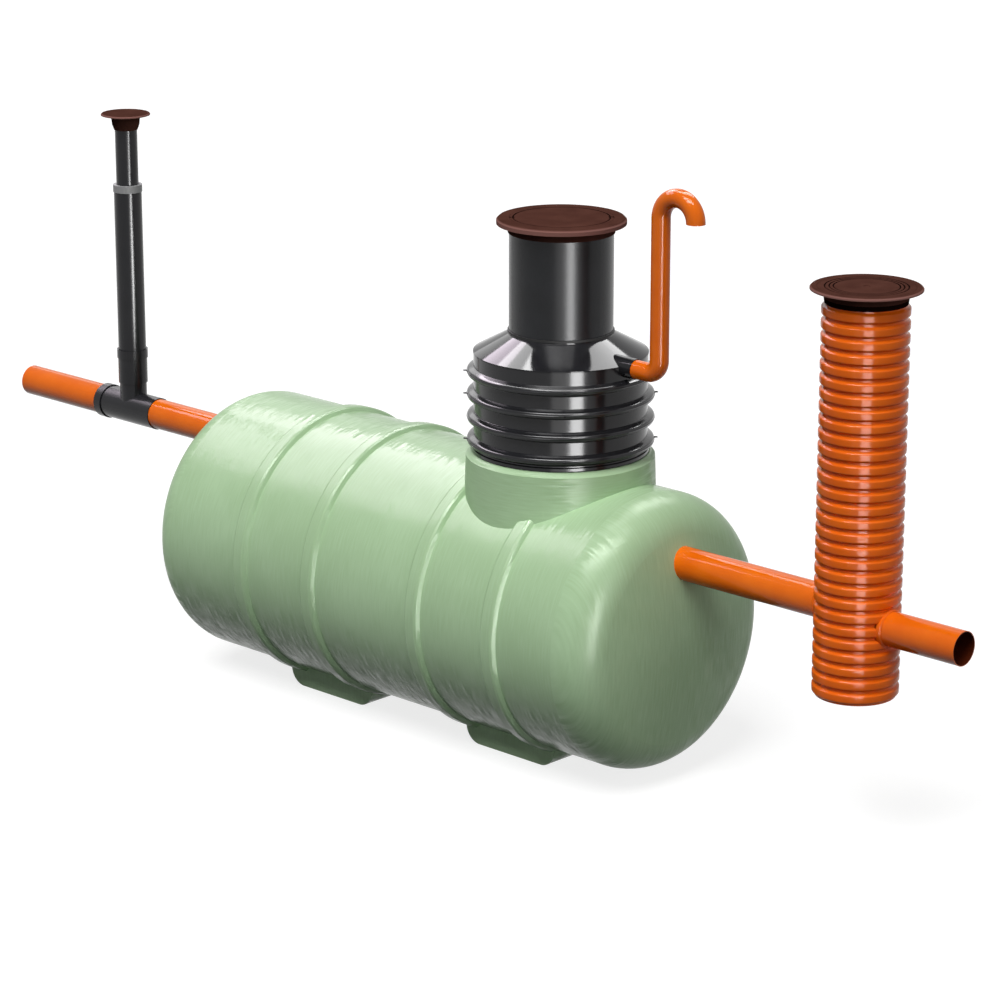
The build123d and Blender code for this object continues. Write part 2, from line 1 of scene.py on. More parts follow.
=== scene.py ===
import bpy
from math import cos, hypot, pi, radians, sin
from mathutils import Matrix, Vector


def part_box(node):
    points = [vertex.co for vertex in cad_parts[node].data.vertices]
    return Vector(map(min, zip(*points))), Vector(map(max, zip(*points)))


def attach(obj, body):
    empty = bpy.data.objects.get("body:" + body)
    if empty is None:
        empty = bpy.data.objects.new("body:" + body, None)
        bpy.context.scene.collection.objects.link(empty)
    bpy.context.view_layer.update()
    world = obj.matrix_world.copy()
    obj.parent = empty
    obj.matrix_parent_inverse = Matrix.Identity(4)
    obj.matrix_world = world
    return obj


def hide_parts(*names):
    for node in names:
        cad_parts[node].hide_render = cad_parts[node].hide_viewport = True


# The looks of a buried grease separator: laminated tank, black moulded access shaft, orange
# pipes and corrugated sampling chamber. Metres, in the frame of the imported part.

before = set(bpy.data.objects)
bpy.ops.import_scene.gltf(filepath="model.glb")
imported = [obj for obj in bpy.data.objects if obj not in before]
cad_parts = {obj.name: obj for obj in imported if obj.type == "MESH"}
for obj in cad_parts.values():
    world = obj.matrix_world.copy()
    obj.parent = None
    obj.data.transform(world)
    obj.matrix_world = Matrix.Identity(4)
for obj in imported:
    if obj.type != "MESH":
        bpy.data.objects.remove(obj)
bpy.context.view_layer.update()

MM = 0.001
# Corners nearer each other than this are joined
WELD = 0.01 * MM
# Corners of a tank head nearer its middle than this are its pole
POLE = 1.0 * MM
# Faces that meet at a wider angle than this show an edge
SHARP_EDGE = radians(40)


def middle_of(node):
    """The middle of a CAD node's box."""
    low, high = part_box(node)
    return (low + high) / 2


# Sizes read from the frame
BARREL_LOW, BARREL_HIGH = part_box("tank_barrel")
TANK_R = (BARREL_HIGH.z - BARREL_LOW.z) / 2
AXIS_Z = (BARREL_HIGH.z + BARREL_LOW.z) / 2
NECK_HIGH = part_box("tank_neck")[1]
NECK_R = NECK_HIGH.x
SHAFT_LOW, SHAFT_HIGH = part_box("access_shaft")
SHAFT_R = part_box("shaft_cone")[1].x
CHAMBER_LOW, CHAMBER_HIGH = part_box("sampling_chamber")
CHAMBER_X = (CHAMBER_LOW.x + CHAMBER_HIGH.x) / 2
CHAMBER_R = (CHAMBER_HIGH.x - CHAMBER_LOW.x) / 2

# Sizes that repeat the part's own
SHAFT_RIBS = 4
SHAFT_PITCH = 111.0 * MM
SHAFT_FIRST_RIB = NECK_HIGH.z + 54.0 * MM
SHAFT_RIB_DEPTH = 33.0 * MM
SHAFT_WALL = 8.0 * MM
SHAFT_BEAD = 2.5 * MM
CHAMBER_RIBS = 29
CHAMBER_PITCH = (CHAMBER_HIGH.z - CHAMBER_LOW.z) / CHAMBER_RIBS
CHAMBER_RIB_DEPTH = 13.0 * MM
CHAMBER_WALL = 18.0 * MM
SADDLE_HOLE_R = 88.0 * MM
PIPE_R = 80.0 * MM
WITHIN_PIPE_WALL = 3.0 * MM

# Fineness of the meshes
CHAMBER_ROWS_PER_RIB = 22
DRILL_SIDES = 96
DRILL_LENGTH = 1.0
COLLAR_SIDES = 96
EAR_SIDES = 16

# Pipe collar at the chamber: how far it stands inside the ribs' crests and reaches in from them,
# its clearances, and the rounded lip
COLLAR_INSET = 1.0 * MM
COLLAR_REACH = 24.0 * MM
COLLAR_BORE_GAP = 0.2 * MM
COLLAR_OVERLAP = 0.5 * MM
LIP = 1.5 * MM
LIP_WIDTH = 3.5 * MM
LIP_SLOPE = 5.0 * MM

# Laminate. The strands of glass are 2 mm wide on the real piece and drawn 9 mm wide, so that
# they show. Shares are those of the hoopwise strands, the lengthwise strands and the patches in
# the body's colour and in the wetness of the gloss; leans are how far the strands tip them;
# spreads are the part of the noise that runs from the one end to the other.
STRAND = 9.0 * MM
STRAND_LENGTH = 120.0 * MM
PATCHES_PER_METRE = 2.5
COLOUR_SHARES = (0.5, 0.0, 0.5)
WET_SHARES = (0.7, 0.3, 0.0)
GLOSS_LEANS = (0.6, 0.12, 0.0)
BODY_LEAN = 0.06
COLOUR_SPREAD = (0.4, 0.66)
WET_SPREAD = (0.4, 0.6)
DRY_GLOSS = 0.55
RESIN_IOR = 1.23

# Plastics and iron. Orange peel and sand grains are near their real size.
CLOUDS_PER_METRE = 6.0
PAINT_CLOUDS_PER_METRE = 9.0
CLOUD_SPREAD = (0.3, 0.7)
ORANGE_PEEL = 2.5 * MM
SAND_GRAIN = 3.0 * MM
SAND_DEPTH = 0.25 * MM
# Painted highlight: a paler ring round each cover's rim for the light its bevel catches; it
# starts this far in from the edge and is full this far in
RIM_HIGHLIGHT_FROM = 9.0 * MM
RIM_HIGHLIGHT_TO = 3.0 * MM
# Painted shade: the covers' ring grooves are darkened this far either side of their middle
GROOVE_SHADE_HALF_WIDTH = 3.0 * MM
# Colour of the painted rim highlight
RIM_HIGHLIGHT = "#7E5851"
# Colour of the painted shade in the ring grooves
GROOVE_SHADE = "#1C0F0C"
# Colour of the painted shade inside the outlet stub's bore
BORE_SHADE = "#4A1C0C"

# A colour Mix node's two colours among its inputs, and its result among its outputs
MIX_FROM, MIX_TO, MIXED = 6, 7, 2

# Thermoplastics and rubbers: dark and light colour, roughness, gloss, depth of the skin's
# bumps, and the nodes that wear each one
PLASTICS = {
    # Injection-moulded polyethylene: near black, with hard, clear bands of gloss
    "moulded_polyethylene": (
        "#1B1B1D", "#222225", 0.08, 0.14, 0.03 * MM,
        ("shaft_cone", "vent_spigot"),
    ),
    # Rotomoulded polyethylene: near black, its gloss a little blurred
    "rotomoulded_polyethylene": (
        "#19191B", "#202023", 0.16, 0.27, 0.03 * MM,
        ("access_shaft",),
    ),
    # Extruded polyethylene tube: near black and satin
    "extruded_polyethylene": (
        "#17181A", "#1E1F22", 0.27, 0.2, 0.08 * MM,
        ("telescope_tube",),
    ),
    # Extruded polypropylene: near black, with a soft sheen along the tubes
    "grey_polypropylene": (
        "#18181B", "#202023", 0.22, 0.22, 0.04 * MM,
        ("inlet_tee", "riser_socket", "riser_tube", "riser_telescope"),
    ),
    # Moulded rubber: matt grey
    "grey_rubber": (
        "#7C7C7D", "#8C8C8D", 0.6, 0.3, 0.08 * MM,
        ("riser_seal_ring",),
    ),
    # Moulded rubber: matt black
    "black_rubber": (
        "#151515", "#1B1B1B", 0.6, 0.2, 0.08 * MM,
        ("telescope_seal",),
    ),
    # Extruded PVC sewer pipe: even orange, with thin clear lines of gloss
    "orange_pvc_pipe": (
        "#DB620A", "#E46D10", 0.08, 0.1, 0.01 * MM,
        (
            "vent_elbow",
            "vent_pipe",
            "vent_gooseneck",
            "inlet_stub_pipe",
            "inlet_pipe",
            "outlet_pipe",
        ),
    ),
    # The same pipe, its bore coloured dark brown as painted shade
    "bore_shaded_pvc_pipe": (
        "#D65E0A", "#DF6910", 0.08, 0.11, 0.01 * MM,
        ("chamber_outlet_stub",),
    ),
    # Corrugated polypropylene: deeper orange, its gloss a little blurred
    "orange_polypropylene": (
        "#D65B0C", "#DF6511", 0.16, 0.08, 0.01 * MM,
        ("sampling_chamber", "chamber_base", "chamber_inlet_saddle", "chamber_outlet_saddle"),
    ),
}
SHADED_BORE_PIPES = {"bore_shaded_pvc_pipe": "chamber_outlet_stub"}

# Covers: frame that each lies in, piece whose rim takes the painted highlight, and how far its
# ring grooves, darkened with painted shade, lie in from its own edge
COVERS = {
    "shaft_cover": ("shaft_cover_frame", "shaft_cover_frame", (17.0 * MM,)),
    "chamber_cover": (
        "chamber_cover_frame",
        "chamber_cover_frame",
        (32.0 * MM, 52.0 * MM, 70.0 * MM),
    ),
    "riser_cover": ("riser_cover_frame", "riser_cover", ()),
}

# Camera of the reference view
CAMERA_PLACE = (11.2021, -12.1595, 6.1276)
CAMERA_YAW = 43.651
CAMERA_PITCH = 16.45
CAMERA_LENS_MM = 129.8
CAMERA_FAR = 200.0

# Studio. Angles are in degrees: azimuth from +X towards +Y, and height above the floor.
SKY_LEVEL = 0.12
BACKGROUND_LEVEL = 1.0
FLOOR_SIZE = 400.0
FLOOR_GLOW = 0.8
FLOOR_SEEN = "#959595"
FLOOR_LIGHTING = "#3C3E40"
# Broad soft lamps far away: azimuth, height, level and how wide each one looks
SUNS = {
    "key": (-80.0, 60.0, 3.15, 36.0),
    "fill": (-6.0, 22.0, 0.8, 60.0),
}
# Cards that only show in gloss: what each one faces, azimuth and height seen from there,
# distance, width and height of the card, level, colour and the angle that it shines into
WHOLE = (-0.4, 0.0, 1.2)
RISER = (middle_of("riser_tube").x, 0.0, 2.0)
ALL_ROUND = 180.0
WHITE = (1.0, 1.0, 1.0)
LILAC = (1.0, 0.88, 1.0)
CARDS = {
    "left_card": (WHOLE, 180.0, 45.0, 14.0, 13.0, 4.8, 12.5, LILAC, ALL_ROUND),
    "rear_card": (WHOLE, 142.0, 33.0, 14.0, 7.0, 8.0, 1.6, WHITE, ALL_ROUND),
    "high_left_card": (WHOLE, 166.0, 60.0, 12.0, 3.4, 5.0, 14.0, WHITE, ALL_ROUND),
    "high_right_card": (WHOLE, 98.0, 54.0, 12.0, 3.6, 7.0, 14.5, WHITE, ALL_ROUND),
    "top_card": (WHOLE, 134.0, 76.0, 12.0, 6.0, 4.0, 24.0, WHITE, ALL_ROUND),
    "overhead_card": (WHOLE, -46.0, 66.0, 12.0, 9.0, 4.2, 30.0, WHITE, ALL_ROUND),
    "front_card": (WHOLE, -25.0, 0.0, 4.6, 1.15, 2.36, 30.0, WHITE, ALL_ROUND),
    "front_veil": (WHOLE, -44.0, 0.0, 4.8, 1.8, 2.36, 2.2, WHITE, ALL_ROUND),
    "riser_card": (RISER, -18.6, -16.45, 4.6, 1.0, 1.35, 2.1, WHITE, 40.0),
}

# How the corners of a flat grid become a ribbed wall, step by step: result, operation and what
# it works on. Names with a capital are the tree's sizes. Up the grid come the rows of the
# outside, the bore's top, its foot, and the first row again, which closes the section. EASE
# runs smoothly between two limits, from one value to another. Half a row keeps each test
# between two whole numbers, the collar is flat over a share of its half width, and rib
# numbers nearer than SAME_RIB are one.
HALF_ROW = 0.5
COLLAR_FLAT = 0.7
SAME_RIB = 0.1
RIB_STEPS = (
    ("rows in all", "ADD", "Rows", 3),
    ("columns", "ADD", "Around", 1),
    # Column and row of a corner, from its number
    ("counted", "ADD", "number", 0.5),
    ("columns done", "DIVIDE", "counted", "rows in all"),
    ("column", "FLOOR", "columns done"),
    ("corners done", "MULTIPLY", "column", "rows in all"),
    ("grid row", "SUBTRACT", "number", "corners done"),
    ("below bore", "SUBTRACT", "Rows", HALF_ROW),
    ("below foot", "ADD", "Rows", HALF_ROW),
    ("below closing", "ADD", "below foot", 1),
    ("closing", "GREATER_THAN", "grid row", "below closing"),
    ("not closing", "SUBTRACT", 1, "closing"),
    ("row", "MULTIPLY", "grid row", "not closing"),
    # Height
    ("last row", "SUBTRACT", "Rows", 1),
    ("risen", "DIVIDE", "row", "last row"),
    ("risen at most", "MINIMUM", "risen", 1),
    ("at foot", "GREATER_THAN", "row", "below foot"),
    ("not at foot", "SUBTRACT", 1, "at foot"),
    ("share of height", "MULTIPLY", "risen at most", "not at foot"),
    ("whole height", "SUBTRACT", "Top", "Bottom"),
    ("rise", "MULTIPLY", "share of height", "whole height"),
    ("height", "ADD", "Bottom", "rise"),
    # How far it lies from the middle of the nearest rib
    ("above first", "SUBTRACT", "height", "First rib"),
    ("pitches", "DIVIDE", "above first", "Pitch"),
    ("last rib", "SUBTRACT", "Ribs", 1),
    ("rounded", "ROUND", "pitches"),
    ("not past last", "MINIMUM", "rounded", "last rib"),
    ("nearest rib", "MAXIMUM", "not past last", 0),
    ("pitches off", "SUBTRACT", "pitches", "nearest rib"),
    ("pitches away", "ABSOLUTE", "pitches off"),
    ("off", "MULTIPLY", "pitches away", "Pitch"),
    ("across", "DIVIDE", "off", "Rib half width"),
    # The rib: rounded flanks and a crowned top
    ("flank", "EASE", "across", "Shoulder", 1.0, 1.0, 0.0),
    ("across squared", "MULTIPLY", "across", "across"),
    ("falling", "SUBTRACT", 1, "across squared"),
    ("crown", "MAXIMUM", "falling", 0),
    ("depth", "SUBTRACT", "Crest", "Groove"),
    ("full lift", "MULTIPLY", "depth", "flank"),
    ("below crown", "SUBTRACT", "crown", 1),
    ("dip", "MULTIPLY", "Crown", "below crown"),
    ("lift and dip", "ADD", "full lift", "dip"),
    ("lift", "MAXIMUM", "lift and dip", 0),
    # The parting bead on its top, and the collar at the wall's foot
    ("bead", "EASE", "off", 0.0, "Bead half width", "Bead", 0.0),
    ("above collar", "SUBTRACT", "height", "Collar height"),
    ("from collar", "ABSOLUTE", "above collar"),
    ("collar top", "MULTIPLY", "Collar half width", COLLAR_FLAT),
    ("collar", "EASE", "from collar", "collar top", "Collar half width", "Collar", 0.0),
    # Radius: of the outside, or of the bore
    ("ribbed", "ADD", "Groove", "lift"),
    ("trim", "ADD", "bead", "collar"),
    ("outside", "ADD", "ribbed", "trim"),
    ("on bore", "GREATER_THAN", "row", "below bore"),
    ("reach", "SUBTRACT", "Bore", "outside"),
    ("reach there", "MULTIPLY", "reach", "on bore"),
    ("radius", "ADD", "outside", "reach there"),
    # Place
    ("column angle", "DIVIDE", 2 * pi, "Around"),
    ("turn", "MULTIPLY", "column", "column angle"),
    ("cosine", "COSINE", "turn"),
    ("sine", "SINE", "turn"),
    ("from centre", "MULTIPLY", "radius", "cosine"),
    ("x", "ADD", "Centre X", "from centre"),
    ("y", "MULTIPLY", "radius", "sine"),
)


def linear(code):
    """An sRGB hex colour as linear light."""
    parts = [int(code[i:i + 2], 16) / 255 for i in (1, 3, 5)]
    lit = [c / 12.92 if c <= 0.04045 else ((c + 0.055) / 1.055) ** 2.4 for c in parts]
    return (*lit, 1.0)


def feed(node, inputs):
    """Sets a node's inputs; each takes a value, a socket, a node's first output or a list."""
    for key, value in dict(inputs).items():
        for part in value if isinstance(value, list) else [value]:
            if isinstance(part, bpy.types.Node):
                part = part.outputs[0]
            if isinstance(part, bpy.types.NodeSocket):
                node.id_data.links.new(part, node.inputs[key])
            else:
                node.inputs[key].default_value = part


def add(tree, kind, inputs=(), **settings):
    """A new node with its settings and inputs."""
    made = tree.nodes.new(kind)
    for name, value in settings.items():
        setattr(made, name, value)
    feed(made, inputs)
    return made


def new_material(name):
    """An empty material with a Principled shader wired to its output."""
    made = bpy.data.materials.new(name)
    made.use_nodes = True
    tree = made.node_tree
    tree.nodes.clear()
    shader = add(tree, "ShaderNodeBsdfPrincipled")
    add(tree, "ShaderNodeOutputMaterial", {"Surface": shader})
    return made, tree, shader


def size_tree(name, sizes):
    """A geometry tree with a named input for each size and one for the material."""
    tree = bpy.data.node_groups.new(name, "GeometryNodeTree")
    tree.interface.new_socket("Geometry", in_out="OUTPUT", socket_type="NodeSocketGeometry")
    for label, size in sizes.items():
        kind = "NodeSocketInt" if isinstance(size, int) else "NodeSocketFloat"
        tree.interface.new_socket(label, in_out="INPUT", socket_type=kind)
    tree.interface.new_socket("Material", in_out="INPUT", socket_type="NodeSocketMaterial")
    return tree, add(tree, "NodeGroupInput").outputs


def close_tree(tree, source, given):
    """Ends a geometry tree with real faces that carry their material."""
    real = add(tree, "GeometryNodeRealizeInstances", {0: source})
    painted = add(
        tree,
        "GeometryNodeSetMaterial",
        {"Geometry": real, "Material": given["Material"]},
    )
    add(tree, "NodeGroupOutput", {0: painted})


def grow(name, tree, sizes, material):
    """Runs a geometry tree with its sizes and keeps what it makes as a plain mesh."""
    piece = bpy.data.objects.new(name, bpy.data.meshes.new(name + "_start"))
    bpy.context.scene.collection.objects.link(piece)
    modifier = piece.modifiers.new("shape", "NODES")
    modifier.node_group = tree
    for item in tree.interface.items_tree:
        if item.in_out == "INPUT":
            modifier[item.identifier] = material if item.name == "Material" else sizes[item.name]
    bpy.context.view_layer.update()
    ready = piece.evaluated_get(bpy.context.evaluated_depsgraph_get())
    mesh = bpy.data.meshes.new_from_object(ready)
    piece.modifiers.clear()
    piece.data = mesh
    mesh.name = name
    return piece


def ribbed_wall(name, sizes, holes, material):
    """A round upright wall with rounded ribs outside and a plain bore, and level pipe holes.

    Each hole has its side along X, its height and its radius."""
    tree, given = size_tree(name, sizes)
    known = {socket.name: socket for socket in given}
    known["number"] = add(tree, "GeometryNodeInputIndex")
    for result, operation, *parts in RIB_STEPS:
        inputs = dict(enumerate(known.get(part, part) for part in parts))
        if operation == "EASE":
            known[result] = add(
                tree, "ShaderNodeMapRange", inputs, interpolation_type="SMOOTHSTEP"
            )
        else:
            known[result] = add(tree, "ShaderNodeMath", inputs, operation=operation)
    wall = add(
        tree,
        "GeometryNodeMeshGrid",
        {"Vertices X": known["columns"], "Vertices Y": known["rows in all"]},
    )
    spot = add(
        tree,
        "ShaderNodeCombineXYZ",
        {0: known["x"], 1: known["y"], 2: known["height"]},
    )
    wall = add(tree, "GeometryNodeSetPosition", {0: wall, "Position": spot})
    wall = add(tree, "GeometryNodeMergeByDistance", {"Geometry": wall, "Distance": WELD})
    for side, level, size in holes:
        drill = add(
            tree,
            "GeometryNodeMeshCylinder",
            {"Vertices": DRILL_SIDES, "Radius": size, "Depth": DRILL_LENGTH},
        )
        outwards = add(
            tree,
            "ShaderNodeMath",
            {0: given["Centre X"], 1: side * DRILL_LENGTH / 2},
            operation="ADD",
        )
        middle = add(tree, "ShaderNodeCombineXYZ", {0: outwards, 2: level})
        drill = add(
            tree,
            "GeometryNodeTransform",
            {"Geometry": drill, "Translation": middle, "Rotation": (0, pi / 2, 0)},
        )
        wall = add(
            tree,
            "GeometryNodeMeshBoolean",
            {"Mesh 1": wall, "Mesh 2": drill},
            operation="DIFFERENCE",
            solver="MANIFOLD",
        )
    bend = add(tree, "GeometryNodeInputMeshEdgeAngle").outputs["Unsigned Angle"]
    soft = add(tree, "FunctionNodeCompare", {0: bend, 1: SHARP_EDGE}, operation="LESS_THAN")
    wall = add(tree, "GeometryNodeSetShadeSmooth", {0: wall}, domain="FACE")
    wall = add(tree, "GeometryNodeSetShadeSmooth", {0: wall, "Shade Smooth": soft}, domain="EDGE")
    close_tree(tree, wall, given)
    return grow(name, tree, sizes, material)


def object_axes(tree):
    """The object coordinates, whole and as three separate sockets."""
    place = add(tree, "ShaderNodeTexCoord").outputs["Object"]
    parts = add(tree, "ShaderNodeSeparateXYZ", {0: place}).outputs
    return place, parts["X"], parts["Y"], parts["Z"]


def side_of(tree, axis):
    """Direction along the surface and round the given axis."""
    facing = add(tree, "ShaderNodeNewGeometry").outputs["Normal"]
    across = add(tree, "ShaderNodeVectorMath", {0: axis, 1: facing}, operation="CROSS_PRODUCT")
    return add(tree, "ShaderNodeVectorMath", {0: across}, operation="NORMALIZE")


def round_tank(tree):
    """Along the tank's axis, and round it."""
    place, x, y, z = object_axes(tree)
    up = add(tree, "ShaderNodeMath", {0: z, 1: AXIS_Z}, operation="SUBTRACT")
    angle = add(tree, "ShaderNodeMath", {0: y, 1: up}, operation="ARCTAN2")
    arc = add(tree, "ShaderNodeMath", {0: angle, 1: TANK_R}, operation="MULTIPLY")
    return place, x, arc, side_of(tree, (1, 0, 0))


def flat_head(tree):
    """Across a tank head, and up it."""
    place, _, y, z = object_axes(tree)
    return place, y, z, side_of(tree, (0, 1, 0))


def round_neck(tree):
    """Up the neck, and round it."""
    place, x, y, z = object_axes(tree)
    angle = add(tree, "ShaderNodeMath", {0: y, 1: x}, operation="ARCTAN2")
    arc = add(tree, "ShaderNodeMath", {0: angle, 1: NECK_R}, operation="MULTIPLY")
    return place, z, arc, side_of(tree, (0, 0, 1))


def flat_sides(tree):
    """Along a foot, and up it."""
    place, x, y, z = object_axes(tree)
    up = add(tree, "ShaderNodeMath", {0: y, 1: z}, operation="ADD")
    return place, x, up, side_of(tree, (1, 0, 0))


def laminate(name, lay, dark="#9EBB93", light="#A8C59E", sheen=0.16):
    """Glass-reinforced polyester, hand laid over a mould and sealed with tinted resin.

    The eye gets a pale green body, a wet gloss on top, and in that gloss the crossed strands of
    the glass, which follow the lay."""
    made, tree, shader = new_material(name)
    place, along, across, sideways = lay(tree)
    flat = add(tree, "ShaderNodeCombineXYZ", {0: along, 1: across})
    layers = (
        (flat, (1 / STRAND, 1 / STRAND_LENGTH, 1)),
        (flat, (1 / STRAND_LENGTH, 1 / STRAND, 1)),
        (place, (PATCHES_PER_METRE, PATCHES_PER_METRE, PATCHES_PER_METRE)),
    )
    glass = add(tree, "ShaderNodeCombineXYZ")
    for number, (source, scales) in enumerate(layers):
        laid = add(tree, "ShaderNodeMapping", {"Vector": source, "Scale": scales})
        shades = add(tree, "ShaderNodeTexNoise", {"Vector": laid, "Scale": 1.0, "Detail": 2.0})
        feed(glass, {number: shades})
    tint, wetness, lean = (
        add(
            tree,
            "ShaderNodeVectorMath",
            {0: glass, 1: shares},
            operation="DOT_PRODUCT",
        ).outputs["Value"]
        for shares in (COLOUR_SHARES, WET_SHARES, GLOSS_LEANS)
    )
    tint = add(
        tree,
        "ShaderNodeMapRange",
        {"Value": tint, "From Min": COLOUR_SPREAD[0], "From Max": COLOUR_SPREAD[1]},
    )
    colour = add(
        tree,
        "ShaderNodeMix",
        {0: tint, MIX_FROM: linear(dark), MIX_TO: linear(light)},
        data_type="RGBA",
    )
    wet = add(
        tree,
        "ShaderNodeMapRange",
        {
            "Value": wetness,
            "From Min": WET_SPREAD[0],
            "From Max": WET_SPREAD[1],
            "To Min": DRY_GLOSS,
        },
    )
    feed(
        shader,
        {
            "Base Color": colour.outputs[MIXED],
            "Roughness": 0.6,
            "Specular IOR Level": 0.0,
            "Coat Weight": wet,
            "Coat IOR": RESIN_IOR,
            "Coat Roughness": sheen,
        },
    )
    # The noises' middle is a half, so half of the leans leaves the surface upright on average
    lean = add(
        tree,
        "ShaderNodeMath",
        {0: lean, 1: sum(GLOSS_LEANS) / 2},
        operation="SUBTRACT",
    )
    facing = add(tree, "ShaderNodeNewGeometry").outputs["Normal"]
    for socket, share in (("Coat Normal", 1.0), ("Normal", BODY_LEAN)):
        part = add(tree, "ShaderNodeMath", {0: lean, 1: share}, operation="MULTIPLY")
        tilt = add(tree, "ShaderNodeVectorMath", {0: sideways, "Scale": part}, operation="SCALE")
        leaning = add(tree, "ShaderNodeVectorMath", {0: facing, 1: tilt}, operation="ADD")
        normal = add(tree, "ShaderNodeVectorMath", {0: leaning}, operation="NORMALIZE")
        feed(shader, {socket: normal})
    return made


def moulded_plastic(name, dark, light, roughness, gloss, depth):
    """Plastic or rubber from a mould or die: even colour, its own gloss, faint orange-peel skin.

    The bore of a pipe listed for it is coloured dark brown, painted shade inside the bore."""
    made, tree, shader = new_material(name)
    place = add(tree, "ShaderNodeTexCoord").outputs["Object"]
    clouds = add(
        tree,
        "ShaderNodeTexNoise",
        {"Vector": place, "Scale": CLOUDS_PER_METRE, "Detail": 3.0},
    )
    tint = add(
        tree,
        "ShaderNodeMapRange",
        {"Value": clouds, "From Min": CLOUD_SPREAD[0], "From Max": CLOUD_SPREAD[1]},
    )
    colour = add(
        tree,
        "ShaderNodeMix",
        {0: tint, MIX_FROM: linear(dark), MIX_TO: linear(light)},
        data_type="RGBA",
    ).outputs[MIXED]
    # Painted shade: the bore of the outlet stub is coloured dark brown
    if name in SHADED_BORE_PIPES:
        section = add(
            tree,
            "ShaderNodeVectorMath",
            {0: place, 1: (0, 1, 1)},
            operation="MULTIPLY",
        )
        distance = add(
            tree,
            "ShaderNodeVectorMath",
            {0: section, 1: (0, 0, middle_of(SHADED_BORE_PIPES[name]).z)},
            operation="DISTANCE",
        ).outputs["Value"]
        in_bore = add(
            tree,
            "ShaderNodeMath",
            {0: distance, 1: PIPE_R - WITHIN_PIPE_WALL},
            operation="LESS_THAN",
        )
        colour = add(
            tree,
            "ShaderNodeMix",
            {0: in_bore, MIX_FROM: colour, MIX_TO: linear(BORE_SHADE)},
            data_type="RGBA",
        ).outputs[MIXED]
    peel = add(
        tree,
        "ShaderNodeTexNoise",
        {"Vector": place, "Scale": 1 / ORANGE_PEEL, "Detail": 1.0},
    )
    skin = add(tree, "ShaderNodeBump", {"Height": peel, "Distance": depth, "Strength": 1.0})
    feed(
        shader,
        {
            "Base Color": colour,
            "Roughness": roughness,
            "Specular IOR Level": gloss,
            "Normal": skin,
        },
    )
    return made


def cast_cover(name, rim_of, grooves, dark="#4B2E27", light="#57372F"):
    """Sand-cast iron dipped in brown bitumen paint, with a painted highlight round the rim.

    The eye gets a dull even brown over a fine sandy grain, a paler painted highlight at the rim
    for the light its bevel catches, and painted shade in the ring grooves, whose radii are given."""
    made, tree, shader = new_material(name)
    low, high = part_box(rim_of)
    rim = (high.x - low.x) / 2
    place = add(tree, "ShaderNodeTexCoord").outputs["Object"]
    flat = add(tree, "ShaderNodeVectorMath", {0: place, 1: (1, 1, 0)}, operation="MULTIPLY")
    distance = add(
        tree,
        "ShaderNodeVectorMath",
        {0: flat, 1: ((low.x + high.x) / 2, 0, 0)},
        operation="DISTANCE",
    ).outputs["Value"]
    clouds = add(
        tree,
        "ShaderNodeTexNoise",
        {"Vector": place, "Scale": PAINT_CLOUDS_PER_METRE, "Detail": 3.0},
    )
    tint = add(
        tree,
        "ShaderNodeMapRange",
        {"Value": clouds, "From Min": CLOUD_SPREAD[0], "From Max": CLOUD_SPREAD[1]},
    )
    # Painted highlight: a paler ring at the rim, for the light the bevel catches
    rim_highlight_mask = add(
        tree,
        "ShaderNodeMapRange",
        {"Value": distance, "From Min": rim - RIM_HIGHLIGHT_FROM, "From Max": rim - RIM_HIGHLIGHT_TO},
    )
    coats = [(tint, light), (rim_highlight_mask, RIM_HIGHLIGHT)]
    # Painted shade: each ring groove darkened
    for groove in grooves:
        off = add(tree, "ShaderNodeMath", {0: distance, 1: groove}, operation="SUBTRACT")
        gap = add(tree, "ShaderNodeMath", {0: off}, operation="ABSOLUTE")
        in_groove_shade = add(tree, "ShaderNodeMath", {0: gap, 1: GROOVE_SHADE_HALF_WIDTH}, operation="LESS_THAN")
        coats.append((in_groove_shade, GROOVE_SHADE))
    colour = linear(dark)
    for cover, coat in coats:
        colour = add(
            tree,
            "ShaderNodeMix",
            {0: cover, MIX_FROM: colour, MIX_TO: linear(coat)},
            data_type="RGBA",
        ).outputs[MIXED]
    sand = add(
        tree,
        "ShaderNodeTexNoise",
        {"Vector": place, "Scale": 1 / SAND_GRAIN, "Detail": 2.0},
    )
    grain = add(tree, "ShaderNodeBump", {"Height": sand, "Distance": SAND_DEPTH, "Strength": 1.0})
    feed(
        shader,
        {
            "Base Color": colour,
            "Roughness": 0.75,
            "Specular IOR Level": 0.0,
            "Normal": grain,
        },
    )
    return made


def seen_directly(tree):
    """1 where the camera, a mirror or glass looks, 0 for the light on the object."""
    ray = add(tree, "ShaderNodeLightPath").outputs
    mirror = add(
        tree,
        "ShaderNodeMath",
        {0: ray["Is Glossy Ray"], 1: ray["Is Transmission Ray"]},
        operation="MAXIMUM",
    )
    return add(
        tree,
        "ShaderNodeMath",
        {0: ray["Is Camera Ray"], 1: mirror},
        operation="MAXIMUM",
    )


def studio_world():
    """An even sky, with a white background for the camera and for mirrors."""
    world = bpy.data.worlds.new("studio")
    bpy.context.scene.world = world
    world.use_nodes = True
    tree = world.node_tree
    tree.nodes.clear()
    level = add(
        tree,
        "ShaderNodeMapRange",
        {"Value": seen_directly(tree), "To Min": SKY_LEVEL, "To Max": BACKGROUND_LEVEL},
    )
    sky = add(tree, "ShaderNodeBackground", {"Color": (1, 1, 1, 1), "Strength": level})
    add(tree, "ShaderNodeOutputWorld", {"Surface": sky})


